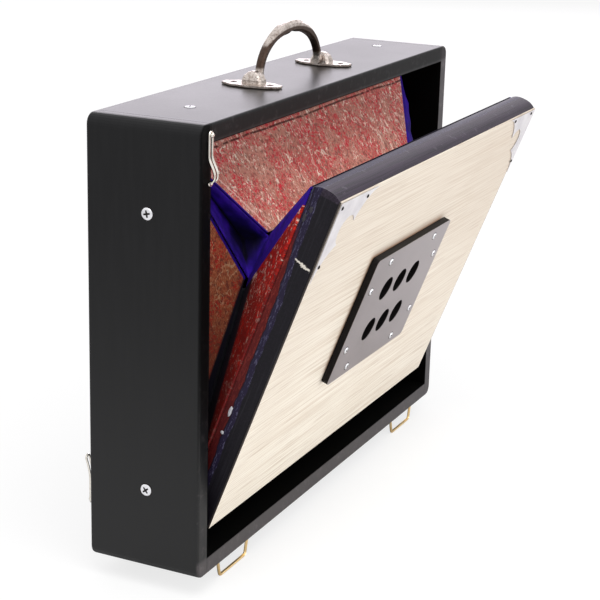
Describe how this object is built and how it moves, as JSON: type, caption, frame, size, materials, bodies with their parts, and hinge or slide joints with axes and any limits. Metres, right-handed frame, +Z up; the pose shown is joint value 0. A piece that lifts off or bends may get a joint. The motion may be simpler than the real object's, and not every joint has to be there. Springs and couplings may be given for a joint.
{
  "type": "shruti box",
  "caption": "Hand-pumped reed drone box: a shallow case with a carrying handle, a hinged pump board over a folded wedge bellows, pivoting note stops and a sprung reservoir.",
  "frame": {"origin": "centre of the case's underside; the wire feet reach below it", "axes": "+X to the right and +Z up as seen from the pump side, +Y from the pump board toward the reservoir"},
  "size_m": [0.41, 0.1726, 0.3523],
  "materials": {
    "black_paint": "black paint on wood, satin, worn at the rims",
    "brass_wire": "plain drawn brass wire",
    "old_nickel": "dulled nickel plating",
    "bright_nickel": "bright nickel plating",
    "black_leathercloth": "board covered in black leathercloth, satin",
    "cream_laminate": "cream laminate with a fine grain",
    "white_metal": "thin polished metal",
    "grey_plate": "smooth grey metal, semi-gloss",
    "leather": "soft brown leather",
    "marbled_card": "stiff card faced with marbled paper",
    "blue_cloth": "thin blue bellows cloth",
    "black_cloth": "thin black bellows cloth",
    "plain_wood": "plain unfinished wood",
    "reed_brass": "filed brass",
    "spring_steel": "bare steel wire"
  },
  "bodies": {
    "case": {"bellows_fold_left": "black_cloth", "bellows_fold_right": "black_cloth", "bellows_fold_top": "black_cloth", "bellows_gusset_left": "blue_cloth", "bellows_gusset_right": "blue_cloth", "case_bottom": "black_paint", "case_left": "black_paint", "case_right": "black_paint", "case_top": "black_paint", "chest_divider": "plain_wood", "chest_rail_bottom": "plain_wood", "chest_rail_left": "plain_wood", "chest_rail_right": "plain_wood", "front_latch_pin": "bright_nickel", "handle_base_left": "old_nickel", "handle_base_right": "old_nickel", "hinge_rail": "black_paint", "middle_board": "plain_wood", "pump_hinge_strip": "leather", "rear_latch_pin": "bright_nickel", "reed_plate": "reed_brass", "reservoir_bellows": "blue_cloth", "reservoir_spring_left": "spring_steel", "reservoir_spring_right": "spring_steel", "tone_panel": "black_paint", "wire_foot_front_left": "brass_wire", "wire_foot_front_right": "brass_wire", "wire_foot_rear_left": "brass_wire", "wire_foot_rear_right": "brass_wire"},
    "pump_board": {"pump_board": "black_leathercloth", "face_panel": "cream_laminate", "inlet_plate": "grey_plate", "corner_plate_left": "white_metal", "corner_plate_right": "white_metal"},
    "inlet_flap": {"inlet_flap": "leather"},
    "outlet_flap": {"outlet_flap": "leather"},
    "reservoir": {"reservoir_board": "black_leathercloth"},
    "handle": {"handle_bail": "old_nickel"},
    "front_latch": {"front_latch": "bright_nickel"},
    "rear_latch": {"rear_latch": "bright_nickel"},
    "card_top_rear": {"bellows_card_top_rear": "marbled_card"},
    "card_top_front": {"bellows_card_top_front": "marbled_card"},
    "card_left_rear": {"bellows_card_left_rear": "marbled_card"},
    "card_left_front": {"bellows_card_left_front": "marbled_card"},
    "card_right_rear": {"bellows_card_right_rear": "marbled_card"},
    "card_right_front": {"bellows_card_right_front": "marbled_card"},
    "note_stop_01": {"note_stop_01": "old_nickel"},
    "note_stop_02": {"note_stop_02": "old_nickel"},
    "note_stop_03": {"note_stop_03": "old_nickel"},
    "note_stop_04": {"note_stop_04": "old_nickel"},
    "note_stop_05": {"note_stop_05": "old_nickel"},
    "note_stop_06": {"note_stop_06": "old_nickel"},
    "note_stop_07": {"note_stop_07": "old_nickel"},
    "note_stop_08": {"note_stop_08": "old_nickel"},
    "note_stop_09": {"note_stop_09": "old_nickel"},
    "note_stop_10": {"note_stop_10": "old_nickel"},
    "note_stop_11": {"note_stop_11": "old_nickel"},
    "note_stop_12": {"note_stop_12": "old_nickel"},
    "note_stop_13": {"note_stop_13": "old_nickel"}
  },
  "joints": [
    {"name": "pump_hinge", "type": "hinge", "parent": "case", "child": "pump_board", "pos_m": [0, -0.017, 0.036], "axis": [1, 0, 0], "range_deg": [-20.7, 0], "deforming": ["pump_hinge_strip", "bellows_fold_top", "bellows_fold_left", "bellows_fold_right", "bellows_gusset_left", "bellows_gusset_right"]},
    {"name": "card_top_rear_hinge", "type": "hinge", "parent": "case", "child": "card_top_rear", "pos_m": [0, -0.0081, 0.2825], "axis": [1, 0, 0], "range_deg": [0, 29.38]},
    {"name": "card_top_front_hinge", "type": "hinge", "parent": "pump_board", "child": "card_top_front", "pos_m": [0, -0.1046, 0.26641], "axis": [1, 0, 0], "range_deg": [-27.61, 0]},
    {"name": "card_left_rear_hinge", "type": "hinge", "parent": "case", "child": "card_left_rear", "pos_m": [-0.185, -0.0081, 0.036], "axis": [0, 0, 1], "range_deg": [0, 35.74]},
    {"name": "card_right_rear_hinge", "type": "hinge", "parent": "case", "child": "card_right_rear", "pos_m": [0.185, -0.0081, 0.036], "axis": [0, 0, 1], "range_deg": [-35.74, 0]},
    {"name": "card_left_front_hinge", "type": "hinge", "parent": "pump_board", "child": "card_left_front", "pos_m": [-0.185, -0.01747, 0.03582], "axis": [0, -0.3535, 0.9354], "range_deg": [-35.74, 0]},
    {"name": "card_right_front_hinge", "type": "hinge", "parent": "pump_board", "child": "card_right_front", "pos_m": [0.185, -0.01747, 0.03582], "axis": [0, -0.3535, 0.9354], "range_deg": [0, 35.74]},
    {"name": "inlet_flap_hinge", "type": "hinge", "parent": "pump_board", "child": "inlet_flap", "pos_m": [-0.0088, -0.07739, 0.19213], "axis": [1, 0, 0], "range_deg": [0, 7]},
    {"name": "outlet_flap_hinge", "type": "hinge", "parent": "case", "child": "outlet_flap", "pos_m": [0, 0.0023, 0.132], "axis": [1, 0, 0], "range_deg": [0, 10]},
    {"name": "reservoir_hinge", "type": "hinge", "parent": "case", "child": "reservoir", "pos_m": [0, 0.0234, 0.016], "axis": [1, 0, 0], "range_deg": [-12, 0], "stiffness_Nm_per_rad": 2, "springref_deg": 17.19, "deforming": ["reservoir_bellows", "reservoir_spring_left", "reservoir_spring_right"]},
    {"name": "handle_swing", "type": "hinge", "parent": "case", "child": "handle", "pos_m": [-0.003, 0, 0.3052], "axis": [1, 0, 0], "range_deg": [-88, 88]},
    {"name": "front_latch_turn", "type": "hinge", "parent": "case", "child": "front_latch", "pos_m": [-0.1955, -0.041, 0.2935], "axis": [0, 1, 0], "continuous": true},
    {"name": "rear_latch_turn", "type": "hinge", "parent": "case", "child": "rear_latch", "pos_m": [-0.1988, 0.041, 0.038], "axis": [0, -1, 0], "continuous": true},
    {"name": "note_stop_01_turn", "type": "hinge", "parent": "case", "child": "note_stop_01", "pos_m": [-0.162, 0.0274, 0.252], "axis": [0, -1, 0], "range_deg": [0, 50]},
    {"name": "note_stop_02_turn", "type": "hinge", "parent": "case", "child": "note_stop_02", "pos_m": [-0.135, 0.0274, 0.252], "axis": [0, -1, 0], "range_deg": [0, 50]},
    {"name": "note_stop_03_turn", "type": "hinge", "parent": "case", "child": "note_stop_03", "pos_m": [-0.108, 0.0274, 0.252], "axis": [0, -1, 0], "range_deg": [0, 50]},
    {"name": "note_stop_04_turn", "type": "hinge", "parent": "case", "child": "note_stop_04", "pos_m": [-0.081, 0.0274, 0.252], "axis": [0, -1, 0], "range_deg": [0, 50]},
    {"name": "note_stop_05_turn", "type": "hinge", "parent": "case", "child": "note_stop_05", "pos_m": [-0.054, 0.0274, 0.252], "axis": [0, -1, 0], "range_deg": [0, 50]},
    {"name": "note_stop_06_turn", "type": "hinge", "parent": "case", "child": "note_stop_06", "pos_m": [-0.027, 0.0274, 0.252], "axis": [0, -1, 0], "range_deg": [0, 50]},
    {"name": "note_stop_07_turn", "type": "hinge", "parent": "case", "child": "note_stop_07", "pos_m": [0, 0.0274, 0.252], "axis": [0, -1, 0], "range_deg": [0, 50]},
    {"name": "note_stop_08_turn", "type": "hinge", "parent": "case", "child": "note_stop_08", "pos_m": [0.027, 0.0274, 0.252], "axis": [0, -1, 0], "range_deg": [0, 50]},
    {"name": "note_stop_09_turn", "type": "hinge", "parent": "case", "child": "note_stop_09", "pos_m": [0.054, 0.0274, 0.252], "axis": [0, -1, 0], "range_deg": [0, 50]},
    {"name": "note_stop_10_turn", "type": "hinge", "parent": "case", "child": "note_stop_10", "pos_m": [0.081, 0.0274, 0.252], "axis": [0, -1, 0], "range_deg": [0, 50]},
    {"name": "note_stop_11_turn", "type": "hinge", "parent": "case", "child": "note_stop_11", "pos_m": [0.108, 0.0274, 0.252], "axis": [0, -1, 0], "range_deg": [0, 50]},
    {"name": "note_stop_12_turn", "type": "hinge", "parent": "case", "child": "note_stop_12", "pos_m": [0.135, 0.0274, 0.252], "axis": [0, -1, 0], "range_deg": [0, 50]},
    {"name": "note_stop_13_turn", "type": "hinge", "parent": "case", "child": "note_stop_13", "pos_m": [0.162, 0.0274, 0.252], "axis": [0, -1, 0], "range_deg": [0, 50]}
  ],
  "couplings": [
    {"joint": "card_top_rear_hinge", "follows": "pump_hinge", "ratio": -1.4189},
    {"joint": "card_top_front_hinge", "follows": "pump_hinge", "ratio": 1.3335},
    {"joint": "card_left_rear_hinge", "follows": "pump_hinge", "ratio": -1.7261},
    {"joint": "card_right_rear_hinge", "follows": "pump_hinge", "ratio": 1.7261},
    {"joint": "card_left_front_hinge", "follows": "pump_hinge", "ratio": 1.7261},
    {"joint": "card_right_front_hinge", "follows": "pump_hinge", "ratio": -1.7261}
  ]
}
